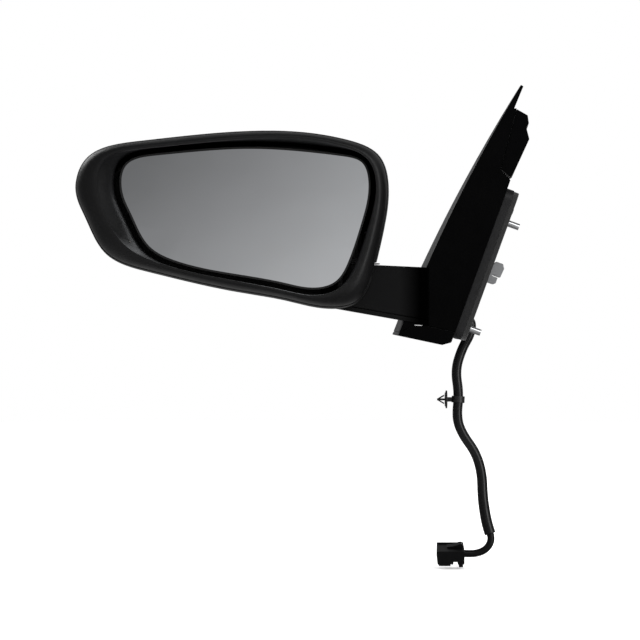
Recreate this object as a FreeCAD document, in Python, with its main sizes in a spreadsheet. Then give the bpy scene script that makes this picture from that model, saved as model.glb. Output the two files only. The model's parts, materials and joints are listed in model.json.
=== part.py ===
import FreeCAD, Part
import math
import os
from FreeCAD import Placement, Rotation, Vector

# Left-hand door mirror with power glass and manual fold.  Millimetres.
# +Z up, +X inboard towards the car, +Y forward.  The glass faces -Y.
# Origin: centre of the circle of three studs, on the door mounting plane.
# The door plane leans by door_tilt: a "door frame" has x along its outward normal and z up the plane.

os.makedirs("parts", exist_ok=True)
doc = FreeCAD.newDocument("door_mirror")

# ---------------------------------------------------------------- driving dimensions

DIMENSIONS = {
    "door_tilt": 20.0,
    "stud_circle_radius": 49.3,
    "stud_radius": 2.5,
    "stud_length": 9.0,
    "stud_root_radius": 3.1,
    "collar_radius": 4.6,
    "flange_thickness": 6.0,
    "gasket_thickness": 4.0,
    "skin": 2.6,
    "pivot_x": -103.0,
    "pivot_y": -20.0,
    "knuckle_radius": 21.0,
    "running_gap": 0.8,
    "knuckle_top": 8.8,
    "pocket_top": 9.8,
    "post_radius": 7.5,
    "post_bore": 5.2,
    "post_bottom": -14.0,
    "post_top": 54.0,
    "hub_radius": 11.5,
    "hub_bottom": 13.0,
    "hub_top": 32.0,
    "glass_surround": 5.4,
    "seam_y": -64.0,
    "rim_y": -82.0,
    "glass_y": -65.5,
    "cap_widest_y": -48.0,
    "nose_y": 43.0,
    "glass_radius": 1400.0,
    "glass_thickness": 2.0,
    "glass_x": -184.0,
    "glass_z": 42.5,
    "tilt_y": -52.0,
    "actuator_radius": 34.0,
    "actuator_back": -18.0,
    "actuator_front": -44.0,
    "plunger_offset": 22.0,
    "plunger_ball": 3.2,
    "plunger_stem": 2.2,
    "ring_outer": 13.0,
    "ring_inner": 8.5,
    "ring_half": 2.5,
    "pin_radius": 1.5,
    "pin_gap": 0.05,
    "lead_diameter": 5.7,
    "sleeve_diameter": 7.5,
    "sleeve_bore": 6.3,
    "loom_diameter": 5.2,
    "screw_radius": 1.6,
    "screw_head": 3.2,
    "plug_length": 20.6,
    "plug_depth": 21.0,
    "plug_height": 10.6,
    "plug_roll": 20.0,
}

sheet = doc.addObject("Spreadsheet::Sheet", "Sizes")
for row, (alias, number) in enumerate(DIMENSIONS.items(), start=1):
    sheet.set("A%d" % row, alias)
    sheet.set("B%d" % row, str(number))
    sheet.setAlias("B%d" % row, alias)
doc.recompute()


def size(alias):
    """Value of a driving dimension, in mm or degrees."""
    return float(sheet.get(alias))


# ---------------------------------------------------------------- frames and small helpers

X = Vector(1, 0, 0)
Y = Vector(0, 1, 0)
Z = Vector(0, 0, 1)
DOOR = Placement(Vector(0, 0, 0), Rotation(Y, size("door_tilt")))
PIVOT = Vector(size("pivot_x"), size("pivot_y"), 0)
GLASS_AXIS = Vector(size("glass_x"), size("tilt_y"), size("glass_z"))
parts = []


def place(position, direction=Z, spin=0.0, frame=None):
    """Placement that turns +Z to a direction after a spin, in the row frame or a given frame."""
    turned = Rotation(Z, direction).multiply(Rotation(Z, spin))
    local = Placement(position, turned)
    return frame.multiply(local) if frame else local


def cylinder(name, radius, height, placement):
    """Cylinder whose radius and height are spreadsheet expressions."""
    item = doc.addObject("Part::Cylinder", name)
    item.setExpression("Radius", radius)
    item.setExpression("Height", height)
    item.Placement = placement
    return item


def block(name, length, width, height, placement):
    """Box whose sides are spreadsheet expressions."""
    item = doc.addObject("Part::Box", name)
    item.setExpression("Length", length)
    item.setExpression("Width", width)
    item.setExpression("Height", height)
    item.Placement = placement
    return item


def cut(name, base, tool):
    item = doc.addObject("Part::Cut", name)
    item.Base = base
    item.Tool = tool
    return item


def fuse(name, shapes):
    item = doc.addObject("Part::MultiFuse", name)
    item.Shapes = shapes
    return item


def group(name, shapes):
    """Several separate solids kept as one sub-part."""
    item = doc.addObject("Part::Compound", name)
    item.Links = shapes
    return item


def feature(name, shape):
    """Free-form shape that no primitive or sketch feature makes."""
    item = doc.addObject("Part::Feature", name)
    item.Shape = shape
    return item


def keep(item, label):
    """Register a finished sub-part under its own label."""
    item.Label = label
    parts.append(item)
    return item


# ---------------------------------------------------------------- outlines of the head

# Sixteen stations go round the head from its outboard end, over the top, down the inboard side and back.
# Each is an (x, z) point of the widest outline, of the rim's crest and of the glass.
WIDEST = [(-311, 71), (-302.6, 88.2), (-262, 101), (-181, 108.3), (-108, 101.8), (-83.4, 89.4), (-76.5, 65),
          (-79.9, 35), (-86.2, 7.5), (-100, -20.5), (-124, -25), (-154.5, -18.9), (-190, -12.6), (-256.4, 2.3),
          (-289, 16.2), (-304.2, 43)]
CREST = [(-294.5, 71.5), (-289.2, 84.4), (-257, 94.4), (-181, 101.6), (-110, 95.5), (-91.8, 85.4), (-85.4, 66),
         (-89.2, 36), (-97.6, 9), (-111, -9.6), (-131, -16.3), (-154, -12.9), (-190, -5.7), (-246, 7.2),
         (-273.5, 21.4), (-289.4, 45)]
GLASS = [(-276.4, 71), (-272.2, 82.6), (-250, 89.3), (-181.7, 94.1), (-112, 88.8), (-96.5, 83.6), (-92, 70),
         (-97.2, 39), (-106.6, 11), (-117, -5), (-134, -9.4), (-154.3, -5.9), (-190, 0.6), (-235, 10.4),
         (-255.5, 21.5), (-268.8, 45)]


def grown(outline, distance):
    """Outline with each station moved outwards, square to its neighbours' chord."""
    moved = []
    count = len(outline)
    for index, (x, z) in enumerate(outline):
        x_before, z_before = outline[index - 1]
        x_after, z_after = outline[(index + 1) % count]
        chord = math.hypot(x_after - x_before, z_after - z_before)
        out_x = -(z_after - z_before) / chord
        out_z = (x_after - x_before) / chord
        moved.append((x + distance * out_x, z + distance * out_z))
    return moved


def blended(first, second, share):
    """Outline part of the way from one outline to another."""
    return [(a[0] + share * (b[0] - a[0]), a[1] + share * (b[1] - a[1])) for a, b in zip(first, second)]


def shrunk(outline, scale, centre):
    """Outline scaled about a centre."""
    cx, cz = centre
    return [(cx + scale * (x - cx), cz + scale * (z - cz)) for x, z in outline]


def ring_wire(outline, y):
    """Closed smooth wire through an outline, at one depth."""
    curve = Part.BSplineCurve()
    curve.interpolate([Vector(x, y, z) for x, z in outline], PeriodicFlag=True)
    return Part.Wire([curve.toShape()])


def skin_loft(sections):
    """Solid through (outline, y) sections."""
    return Part.makeLoft([ring_wire(outline, y) for outline, y in sections], True, False)


def slab(outline, y_low, y_high):
    """Flat plate with the shape of an outline."""
    face = Part.Face(ring_wire(outline, y_low))
    return face.extrude(Vector(0, y_high - y_low, 0))


def arm_sweep(radius, bottom, top, fold_back=45.0, fold_forward=40.0, reach=150.0):
    """Space that the arm sweeps, seen from the head, over the whole fold travel."""
    back = math.radians(fold_back)
    forward = math.radians(fold_forward)
    back_dir = Vector(math.cos(back), -math.sin(back), 0)
    back_side = Vector(-math.sin(back), -math.cos(back), 0)
    front_dir = Vector(math.cos(forward), math.sin(forward), 0)
    front_side = Vector(-math.sin(forward), math.cos(forward), 0)
    back_touch = PIVOT + back_side * radius
    front_touch = PIVOT + front_side * radius
    back_end = back_touch + back_dir * reach
    front_end = front_touch + front_dir * reach
    far = PIVOT + Vector(2 * reach, 0, 0)
    edges = [
        Part.Arc(front_touch, PIVOT - Vector(radius, 0, 0), back_touch).toShape(),
        Part.LineSegment(back_touch, back_end).toShape(),
        Part.LineSegment(back_end, far).toShape(),
        Part.LineSegment(far, front_end).toShape(),
        Part.LineSegment(front_end, front_touch).toShape(),
    ]
    face = Part.Face(Part.Wire(edges))
    face.translate(Vector(0, 0, bottom))
    return face.extrude(Vector(0, 0, top - bottom))


# ---------------------------------------------------------------- head shells

CAP_CENTRE = (-152.0, 38.0)
POCKET_REAR = -42.5
CAP_ANGLES = (14, 28, 42, 55, 67, 77, 85)


def cap_sections(wall):
    """Sections of the cap from the seam to the nose, moved in by a wall thickness."""
    seam = size("seam_y")
    widest = size("cap_widest_y")
    depth = size("nose_y") - wall - widest
    sections = [(grown(WIDEST, -1.0 - wall), seam - (0.5 if wall else 0.0)), (grown(WIDEST, -wall), widest)]
    for angle in CAP_ANGLES:
        turn = math.radians(angle)
        scale = math.cos(turn) ** 0.8
        sections.append((shrunk(grown(WIDEST, -wall), scale, CAP_CENTRE), widest + depth * math.sin(turn)))
    return sections


def make_head_cap():
    wall = size("skin")
    outer = skin_loft(cap_sections(0.0))
    inner = skin_loft(cap_sections(wall))
    sweep = arm_sweep(size("knuckle_radius") + size("running_gap"), -60, size("pocket_top"))
    pocket = arm_sweep(size("knuckle_radius") + size("running_gap") + wall, -60, size("pocket_top") + wall)
    pocket = pocket.cut(Part.makeBox(400, 60, 200, Vector(-350, POCKET_REAR - 60, -100)))
    post_hole = Part.makeCylinder(size("post_radius") + 2.0, 20, PIVOT)
    shell = outer.cut(inner.cut(pocket)).cut(sweep).cut(post_hole)
    return keep(feature("head_cap", shell), "head_cap")


def bezel_outer():
    """Outside of the bezel, a quarter-round from the seam to the crest."""
    seam = size("seam_y") - 0.1
    depth = seam - size("rim_y")
    start = grown(WIDEST, -1.7)
    sections = [(start, seam)]
    for angle in (25, 50, 72, 90):
        turn = math.radians(angle)
        sections.append((blended(start, CREST, 1 - math.cos(turn)), seam - depth * math.sin(turn)))
    return skin_loft(sections)


def bezel_funnel():
    """Opening that dishes in from the crest to the glass."""
    rim = size("rim_y")
    lip = grown(CREST, -1.2)
    mouth = grown(GLASS, size("glass_surround"))
    return skin_loft([
        (grown(lip, 0.6), rim - 1.0),
        (blended(lip, mouth, 0.12), rim + 1.5),
        (blended(lip, mouth, 0.5), rim + 6.0),
        (blended(lip, mouth, 0.85), rim + 12.0),
        (mouth, rim + 19.0),
        (mouth, rim + 24.0),
    ])


BEZEL_POSTS = [(-292.0, 66.0), (-270.0, 24.0)]


def make_head_bezel():
    seam = size("seam_y")
    ring = bezel_outer().cut(bezel_funnel())
    pocket = slab(grown(WIDEST, -8.0), seam - 10.5, seam + 2)
    pocket = pocket.cut(slab(grown(GLASS, 15.0), seam - 12, seam + 3))
    body = ring.cut(pocket)
    for x, z in BEZEL_POSTS:
        base = Vector(x, seam - 0.3, z)
        boss = Part.makeCylinder(4.4, 15, base, -Y).common(ring)
        hole = Part.makeCylinder(size("screw_radius"), 12, base + Y, -Y)
        body = body.fuse(boss).cut(hole)
    sweep = arm_sweep(size("knuckle_radius") + size("running_gap"), -60, size("pocket_top"))
    keep(feature("head_bezel", body.cut(sweep)), "head_bezel")


# ---------------------------------------------------------------- mirror glass, heater and carrier

def glass_ball(extra):
    """Sphere that gives the glass its convex front, moved back by an amount."""
    radius = size("glass_radius")
    centre = Vector(size("glass_x"), size("glass_y") + radius, size("glass_z"))
    return Part.makeSphere(radius - extra, centre)


def make_glass_stack():
    front = size("glass_y")
    thick = size("glass_thickness")
    blank = slab(GLASS, front - 1, front + 12)
    glass = blank.common(glass_ball(0)).cut(glass_ball(thick))
    heater = slab(grown(GLASS, -2.0), front - 1, front + 12).common(glass_ball(thick)).cut(glass_ball(thick + 0.6))
    keep(feature("mirror_glass", glass), "mirror_glass")
    keep(feature("heater_pad", heater), "heater_pad")

    blank = slab(grown(GLASS, 1.4), front - 1, front + 12).common(glass_ball(-0.3))
    seat = slab(grown(GLASS, 0.05), front - 2, front + 12).cut(glass_ball(thick + 0.6))
    carrier = blank.cut(seat).cut(glass_ball(thick + 2.4))
    back = front + 7.5
    centre = Vector(size("glass_x"), 0, size("glass_z"))
    pad = Part.makeCylinder(31, back - front - thick, centre + Y * (front + thick), Y).common(glass_ball(thick + 1.5))
    carrier = carrier.fuse(pad)
    reach = size("tilt_y") - back
    for side in (-1, 1):
        ear = Part.makeBox(4, reach + 3.5, 8, Vector(-2, 0, -4))
        ear.translate(Vector(size("glass_x") + side * (size("ring_outer") + 2.6), back, size("glass_z")))
        carrier = carrier.fuse(ear)
    for offset in (Vector(-size("plunger_offset"), 0, 0), Vector(0, 0, -size("plunger_offset"))):
        foot = centre + Y * back + offset
        carrier = carrier.fuse(Part.makeCylinder(6.0, reach + 2.0, foot, Y))
        carrier = carrier.cut(Part.makeCylinder(4.0, reach + 2.0, foot, Y))
    carrier = carrier.cut(Part.makeCylinder(size("pin_radius") + size("pin_gap"), 50, GLASS_AXIS - X * 25, X))
    keep(feature("glass_carrier", carrier), "glass_carrier")


# ---------------------------------------------------------------- tilt mechanism

def make_tilt_ring():
    centre = GLASS_AXIS - Y * size("ring_half")
    outer = cylinder("tilt_ring_disc", "Sizes.ring_outer", "2 * Sizes.ring_half", place(centre, Y))
    inner = cylinder("tilt_ring_bore", "Sizes.ring_inner", "2 * Sizes.ring_half", place(centre, Y))
    ring = cut("tilt_ring_blank", outer, inner)
    across = cylinder("tilt_ring_cross_x", "Sizes.pin_radius", "2 * Sizes.ring_outer + 2",
                      place(GLASS_AXIS - X * (size("ring_outer") + 1), X))
    upright = cylinder("tilt_ring_cross_z", "Sizes.pin_radius", "2 * Sizes.ring_outer + 2",
                       place(GLASS_AXIS - Z * (size("ring_outer") + 1), Z))
    drilled = cut("tilt_ring_drilled", ring, across)
    keep(cut("tilt_ring", drilled, upright), "tilt_ring")
    keep(cylinder("yaw_pin", "Sizes.pin_radius", "2 * Sizes.ring_outer - 1",
                  place(GLASS_AXIS - Z * (size("ring_outer") - 0.5), Z)), "yaw_pin")
    length = "Sizes.ring_outer - Sizes.ring_inner + 4.2"
    right = cylinder("pitch_pin_right", "Sizes.pin_radius", length,
                     place(GLASS_AXIS + X * (size("ring_inner") + 0.2), X))
    left = cylinder("pitch_pin_left", "Sizes.pin_radius", length,
                    place(GLASS_AXIS - X * (size("ring_inner") + 0.2), -X))
    keep(group("pitch_pins", [right, left]), "pitch_pins")


def make_plunger(label, offset):
    """Jack screw: a ball end in the carrier's cup and a stem that runs into the actuator."""
    centre = GLASS_AXIS + offset
    ball = doc.addObject("Part::Sphere", label + "_ball")
    ball.setExpression("Radius", "Sizes.plunger_ball")
    ball.Placement = place(centre)
    neck = cylinder(label + "_neck", "Sizes.plunger_stem", "23", place(centre, Y))
    thread = cylinder(label + "_thread", "Sizes.plunger_stem + 1", "14", place(centre + Y * 9, Y))
    keep(fuse(label, [ball, neck, thread]), label)


def make_actuator():
    """Two-part actuator case with a post that carries the tilt ring, two motors inside, four screws."""
    radius = size("actuator_radius")
    back = size("actuator_back")
    front = size("actuator_front")
    middle = Vector(size("glass_x"), 0, size("glass_z"))
    wall = 2.0
    seam = front + 3.0

    body = Part.makeCylinder(radius, back - seam, middle + Y * seam, Y)
    body = body.cut(Part.makeCylinder(radius - wall, back - seam - wall, middle + Y * seam, Y))
    ear_spots = []
    for angle in (45, 135, 225, 315):
        turn = math.radians(angle)
        ear_spots.append(middle + Vector(math.cos(turn), 0, math.sin(turn)) * (radius + 3.6))
    for spot in ear_spots:
        ear = Part.makeCylinder(5.0, 4.0, spot + Y * (back - 4.0), Y)
        body = body.fuse(ear.cut(Part.makeCylinder(radius - 1, 4.0, middle + Y * (back - 4.0), Y)))
    for spot in ear_spots:
        body = body.cut(Part.makeCylinder(size("screw_radius"), 8, spot + Y * (back - 6.0), Y))
    keep(feature("actuator_body", body), "actuator_body")

    cover = Part.makeCylinder(radius, 3.0, middle + Y * front, Y)
    post = Part.makeCylinder(6.0, size("ring_half") + 0.5 + (front - size("tilt_y")),
                             middle + Y * (size("tilt_y") - size("ring_half") - 0.5), Y)
    cover = cover.fuse(post)
    cover = cover.cut(Part.makeCylinder(size("pin_radius") + size("pin_gap"), 30, GLASS_AXIS - Z * 15, Z))
    for offset in (Vector(-size("plunger_offset"), 0, 0), Vector(0, 0, -size("plunger_offset"))):
        cover = cover.cut(Part.makeCylinder(size("plunger_stem") + 1.6, 8, middle + offset + Y * (front - 2), Y))
    keep(feature("actuator_cover", cover), "actuator_cover")

    motors = []
    for index, (dx, dz) in enumerate(((6, 12), (6, -14))):
        start = middle + Vector(dx - 2, back - wall - 9.5, dz)
        can = Part.makeCylinder(7.0, 18, start, X)
        shaft = Part.makeCylinder(1.0, 6, start, -X)
        worm = Part.makeCylinder(2.4, 4.5, start - X * 1.0, -X)
        motors.append(can.fuse([shaft, worm]))
    keep(feature("tilt_motors", Part.makeCompound(motors)), "tilt_motors")

    screws = []
    for index, spot in enumerate(ear_spots):
        head = cylinder("actuator_screw_head_%d" % index, "Sizes.screw_head", "2", place(spot + Y * (back - 6.0), Y))
        shank = cylinder("actuator_screw_shank_%d" % index, "Sizes.screw_radius", "8",
                         place(spot + Y * (back - 4.0), Y))
        screws.append(fuse("actuator_screw_%d" % index, [head, shank]))
    keep(group("actuator_screws", screws), "actuator_screws")
    return ear_spots


def make_head_frame(ear_spots):
    """Moulded carrier plate with the fold hub; the actuator and cap fasten to it."""
    back = size("actuator_back")
    plate = slab(shrunk(WIDEST, 0.86, CAP_CENTRE), back, back + 3.0)
    rim = slab(shrunk(WIDEST, 0.86, CAP_CENTRE), back - 6, back + 3.0)
    rim = rim.cut(slab(grown(shrunk(WIDEST, 0.86, CAP_CENTRE), -2.5), back - 6, back + 3.0))
    plate = plate.fuse(rim)
    pocket = arm_sweep(size("knuckle_radius") + size("running_gap") + size("skin") + 0.6, -70,
                       size("pocket_top") + size("skin") + 0.4)
    plate = plate.cut(pocket)
    middle = Vector(size("glass_x"), back - 1, size("glass_z"))
    plate = plate.cut(Part.makeCylinder(16, 8, middle, Y))
    for x, z, radius in ((-252, 52, 13), (-236, 78, 8), (-128, 74, 9), (-240, 27, 8), (-130, 45, 8)):
        plate = plate.cut(Part.makeCylinder(radius, 8, Vector(x, back - 1, z), Y))
    plate = plate.cut(Part.makeBox(60, 60, 240, PIVOT + Vector(-size("hub_radius") - 1.2, -30, -80)))
    hub_base = PIVOT + Z * size("hub_bottom")
    height = size("hub_top") - size("hub_bottom")
    hub = Part.makeCylinder(size("hub_radius"), height, hub_base)
    web = Part.makeBox(26, 8, height, Vector(size("pivot_x") - 30, back - 5, size("hub_bottom")))
    plate = plate.fuse([hub, web])
    bore = Part.makeCylinder(size("post_radius") + size("pin_gap"), height, hub_base)
    plate = plate.cut(bore)
    for spot in ear_spots:
        plate = plate.cut(Part.makeCylinder(size("screw_radius"), 8, spot + Y * (back - 1), Y))
    rear = size("seam_y") - 0.2
    screws = []
    for x, z in BEZEL_POSTS:
        foot = Vector(x, back + 3, z)
        lug = Part.makeBox(24, 3, 7, Vector(x - 3, back, z - 2))
        plate = plate.fuse([lug, Part.makeCylinder(4.4, back + 3 - rear, foot, -Y)])
        plate = plate.cut(Part.makeCylinder(3.3, back - rear - 1, foot, -Y))
        plate = plate.cut(Part.makeCylinder(size("screw_radius"), back + 4 - rear, foot, -Y))
        seat = Vector(x, rear + 4, z)
        head = cylinder("bezel_screw_head_%d" % len(screws), "Sizes.screw_head", "2", place(seat, Y))
        shank = cylinder("bezel_screw_shank_%d" % len(screws), "Sizes.screw_radius", "11", place(seat, -Y))
        screws.append(fuse("bezel_screw_%d" % len(screws), [head, shank]))
    keep(feature("head_frame", plate), "head_frame")
    keep(group("bezel_screws", screws), "bezel_screws")


# ---------------------------------------------------------------- base on the door

FLANGE = [(-38.5, -53), (-38.5, 67), (-12, 67), (64, 16), (66, -24), (34, -53)]
SAIL_SIDE = [(-40, -60), (-40, 100), (-36, 146), (-29, 147), (0, 122), (48, 68), (92, 12), (118, -32), (116, -60)]


def door_slab(outline, low, high):
    """Flat plate on the door: an outline of (y, up-the-plane) points between two offsets along the normal."""
    points = [Vector(low, y, up) for y, up in outline]
    face = Part.Face(Part.makePolygon(points + points[:1]))
    solid = face.extrude(Vector(high - low, 0, 0))
    solid.Placement = DOOR
    return solid


def door_point(out, y, up):
    """A point given by its distance out of the door plane, its y and its height up the plane."""
    return DOOR.multVec(Vector(out, y, up))


DOOR_NORMAL = DOOR.Rotation.multVec(X)
STUDS = []
for step in range(3):
    turn = math.radians(120 * step)
    STUDS.append((size("stud_circle_radius") * math.cos(turn), size("stud_circle_radius") * math.sin(turn)))
CORD_UP = -34.0


def rounded(outline, radius):
    """Closed wire in the plane x = 0 through (y, z) corners, each rounded by a tangent arc."""
    edges = []
    count = len(outline)
    tangents = []
    for index in range(count):
        here = Vector(0, *outline[index])
        before = Vector(0, *outline[index - 1])
        after = Vector(0, *outline[(index + 1) % count])
        into = (before - here).normalize()
        out = (after - here).normalize()
        half = into.getAngle(out) / 2
        leg = radius / math.tan(half)
        middle = (into + out).normalize()
        start = here + into * leg
        end = here + out * leg
        belly = here + middle * (radius / math.sin(half) - radius)
        tangents.append((start, belly, end))
    for index in range(count):
        start, belly, end = tangents[index]
        next_start = tangents[(index + 1) % count][0]
        edges.append(Part.Arc(start, belly, end).toShape())
        edges.append(Part.LineSegment(end, next_start).toShape())
    return Part.Wire(edges)


def door_plate(outline, radius, low, high):
    """Plate on the door with rounded corners."""
    wire = rounded(outline, radius)
    wire.translate(Vector(low, 0, 0))
    solid = Part.Face(wire).extrude(Vector(high - low, 0, 0))
    solid.Placement = DOOR
    return solid


def inset(outline, distance):
    """Polygon moved in by a distance on every side."""
    face = Part.Face(Part.makePolygon([Vector(0, *p) for p in outline + outline[:1]]))
    moved = face.makeOffset2D(-distance)
    return [(v.Point.y, v.Point.z) for v in moved.OuterWire.OrderedVertexes]


def make_bracket():
    """Die-cast bracket: flange on the door, arm beam and the knuckle boss that holds the pivot post."""
    gasket = size("gasket_thickness")
    back = -gasket - size("flange_thickness")
    flange = door_plate(FLANGE, 8.0, back, -gasket)
    beam = Part.makeBox(102, 26, 14, Vector(size("pivot_x"), size("pivot_y") - 13, -12))
    beam = beam.common(door_slab([(-60, -90), (-60, 90), (60, 90), (60, -90)], -130, back + 1))
    boss = Part.makeCylinder(17.6, 19, PIVOT + Z * size("post_bottom"))
    bracket = flange.fuse([beam, boss])
    bracket = bracket.cut(Part.makeCylinder(size("post_radius"), 30, PIVOT + Z * (size("post_bottom") - 1)))
    for y, up in STUDS:
        hole = Part.makeCylinder(size("stud_root_radius"), 8, door_point(back - 1, y, up), DOOR_NORMAL)
        bracket = bracket.cut(hole)
    bracket = bracket.cut(Part.makeCylinder(8.0, 10, door_point(back - 2, 0, CORD_UP), DOOR_NORMAL))
    keep(feature("base_bracket", bracket.removeSplitter()), "base_bracket")


def make_gasket():
    gasket = size("gasket_thickness")
    ring = door_plate(inset(FLANGE, 0.6), 7.5, -gasket, 0)
    ring = ring.cut(door_plate(inset(FLANGE, 5.2), 3.0, -gasket - 1, 1))
    notch = door_slab([(-7, -70), (-7, -30), (7, -30), (7, -70)], -gasket - 1, 1)
    keep(feature("foam_gasket", ring.cut(notch)), "foam_gasket")


def make_studs():
    gasket = size("gasket_thickness")
    back = -gasket - size("flange_thickness")
    studs = []
    for index, (y, up) in enumerate(STUDS):
        root = cylinder("stud_root_%d" % index, "Sizes.stud_root_radius", "Sizes.flange_thickness",
                        place(door_point(back, y, up), DOOR_NORMAL))
        shank = cylinder("stud_shank_%d" % index, "Sizes.stud_radius",
                         "Sizes.gasket_thickness + Sizes.stud_length",
                         place(door_point(-gasket, y, up), DOOR_NORMAL))
        collar = cylinder("stud_collar_%d" % index, "Sizes.collar_radius", "2.4",
                          place(door_point(-gasket, y, up), DOOR_NORMAL))
        blank = fuse("stud_blank_%d" % index, [root, collar, shank])
        slot = block("stud_slot_%d" % index, "3", "1.2", "8", Placement())
        slot.Placement = DOOR.multiply(Placement(Vector(size("stud_length") - 1.8, y - 0.6, up - 4), Rotation()))
        studs.append(cut("stud_%d" % index, blank, slot))
    keep(group("mounting_studs", studs), "mounting_studs")


def make_locators():
    """Plastic locating pins, the spring clip that holds the base while it is bolted, and the cover screws."""
    gasket = size("gasket_thickness")
    pins = []
    for y, up, radius, length in ((-19, 52.5, 3.6, 5.2), (22, -37, 3.0, 4.8)):
        base = Part.makeCylinder(radius + 1.2, 1.6, door_point(-gasket, y, up), DOOR_NORMAL)
        stem = Part.makeCylinder(radius, length - 1.5, door_point(-gasket, y, up), DOOR_NORMAL)
        nose = Part.makeCone(radius, radius - 1.5, 1.5, door_point(length - 1.5 - gasket, y, up), DOOR_NORMAL)
        pins.append(base.fuse([stem, nose]))
    keep(feature("locator_pins", Part.makeCompound(pins)), "locator_pins")

    side = [(-gasket, -4.2), (6.4, -4.2), (7.6, -3.0), (7.6, 1.4), (3.0, 1.4), (3.0, 2.3), (9.4, 2.3), (10.0, 9.5),
            (8.0, 12.8), (2.6, 12.8), (1.2, 10.5), (-gasket, 10.5)]
    wire = Part.makePolygon([Vector(out, -14, up) for out, up in side + side[:1]])
    body = Part.Face(wire).extrude(Vector(0, 12, 0))
    body.Placement = DOOR
    keep(feature("retaining_clip", body), "retaining_clip")

    screws = []
    for index, (y, up) in enumerate(((-5, 47), (36, 16), (40, -28))):
        head = cylinder("cover_screw_head_%d" % index, "Sizes.screw_head", "2",
                        place(door_point(-gasket, y, up), DOOR_NORMAL))
        screws.append(head)
    keep(group("cover_screws", screws), "cover_screws")


def door_line(z, gap):
    """x of the line that runs at height z, a gap outboard of the bracket's back face."""
    tilt = math.radians(size("door_tilt"))
    out = -size("gasket_thickness") - size("flange_thickness") - gap
    return out / math.cos(tilt) + math.tan(tilt) * z


def sail_face():
    """Outline of the sail seen from behind: a shallow arc on the outside, the door plane on the inside."""
    foot = Vector(-69.3, 0, -45.3)
    tip = Vector(23.8, 0, 144.3)
    corners = [
        tip,
        Vector(25.6, 0, 143.2),
        Vector(18.6, 0, 126.4),
        Vector(door_line(126.4, 14), 0, 126.4),
        Vector(door_line(80, 10), 0, 80),
        Vector(door_line(72, 0), 0, 72),
        Vector(door_line(-50.5, 0), 0, -50.5),
        Vector(-36, 0, -52.4),
        foot,
    ]
    edges = [Part.Arc(foot, Vector(-24.0, 0, 57.4), tip).toShape()]
    for start, end in zip(corners, corners[1:]):
        edges.append(Part.LineSegment(start, end).toShape())
    return Part.Face(Part.Wire(edges))


def side_prism(distance):
    """The sail's side outline, moved in by a distance, as a prism along x."""
    outline = inset(SAIL_SIDE, distance) if distance else SAIL_SIDE
    face = Part.Face(Part.makePolygon([Vector(-110, y, z) for y, z in outline + outline[:1]]))
    return face.extrude(X * 170)


def xz_prism(outline, y_low, y_high):
    """Prism along y through (x, z) corners."""
    face = Part.Face(Part.makePolygon([Vector(x, y_low, z) for x, z in outline + outline[:1]]))
    return face.extrude(Y * (y_high - y_low))


def arm_solid(margin):
    """Outside of the arm: knuckle disc and straight neck, its top and bottom faces gently sloping."""
    radius = size("knuckle_radius") + margin
    top = size("knuckle_top") + margin
    disc = Part.makeCylinder(radius, 80, PIVOT - Z * 50)
    neck = Part.makeBox(57, 2 * radius, 80, PIVOT - Z * 50 - Y * radius)
    side = [(-130, top), (size("pivot_x"), top), (-50, top - 2.5), (-38, top - 3), (-38, -38.8 - margin),
            (-130, -22.5 - margin)]
    return disc.fuse(neck).common(xz_prism(side, -60, 60)).removeSplitter()


def make_covers():
    """Sail cover, the arm's upper and lower covers and the cover under the base."""
    skin = size("skin")
    profile = sail_face()
    outer = profile.extrude(Y * 170)
    outer.translate(Y * -45)
    outer = outer.common(side_prism(0))
    hollow = profile.makeOffset2D(-skin).extrude(Y * 170)
    hollow.translate(Y * -45)
    hollow = hollow.common(side_prism(skin))
    back = -size("gasket_thickness") - size("flange_thickness")
    mouth = door_plate(inset(FLANGE, 4.5), 4.0, back - skin - 1, back + 1)
    shell = outer.cut(hollow).cut(mouth)

    seam = [(-76, -46.6), (-56.4, -37.6), (-47, -38), (-20, -44), (-20, -60), (-76, -60)]
    below = xz_prism(seam, -60, 140)
    raised = below.copy()
    raised.translate(Z * 0.4)
    keep(feature("sail_cover", shell.cut(raised).cut(arm_solid(0.2))), "sail_cover")
    keep(feature("base_lower_cover", shell.common(below).cut(arm_solid(0.2))), "base_lower_cover")

    inner = arm_solid(-skin)
    inner = inner.fuse(Part.makeBox(30, 2 * (size("knuckle_radius") - skin), 36.5,
                                    Vector(-60, size("pivot_y") - size("knuckle_radius") + skin, -33)))
    arm = arm_solid(0).cut(inner)
    floor = xz_prism([(-130, -19.2), (-38, -35.5), (-38, -60), (-130, -60)], -60, 60)
    raised_floor = floor.copy()
    raised_floor.translate(Z * 0.2)
    upper = arm.cut(raised_floor).cut(Part.makeCylinder(size("post_radius") + 0.2, 20, PIVOT))
    lower = arm.common(floor)
    keep(feature("arm_cover_upper", upper), "arm_cover_upper")
    keep(feature("arm_cover_lower", lower), "arm_cover_lower")

    seal = [(20.7, 126.0), (28.9, 121.3), (29.7, 115.3), (28.1, 110.7), (30.0, 103.2), (16.4, 73.6), (8.1, 80.3)]
    block = xz_prism(seal, -38.5, 20).common(side_prism(1.5))
    keep(feature("upper_seal", block), "upper_seal")


# ---------------------------------------------------------------- fold pivot

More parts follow.
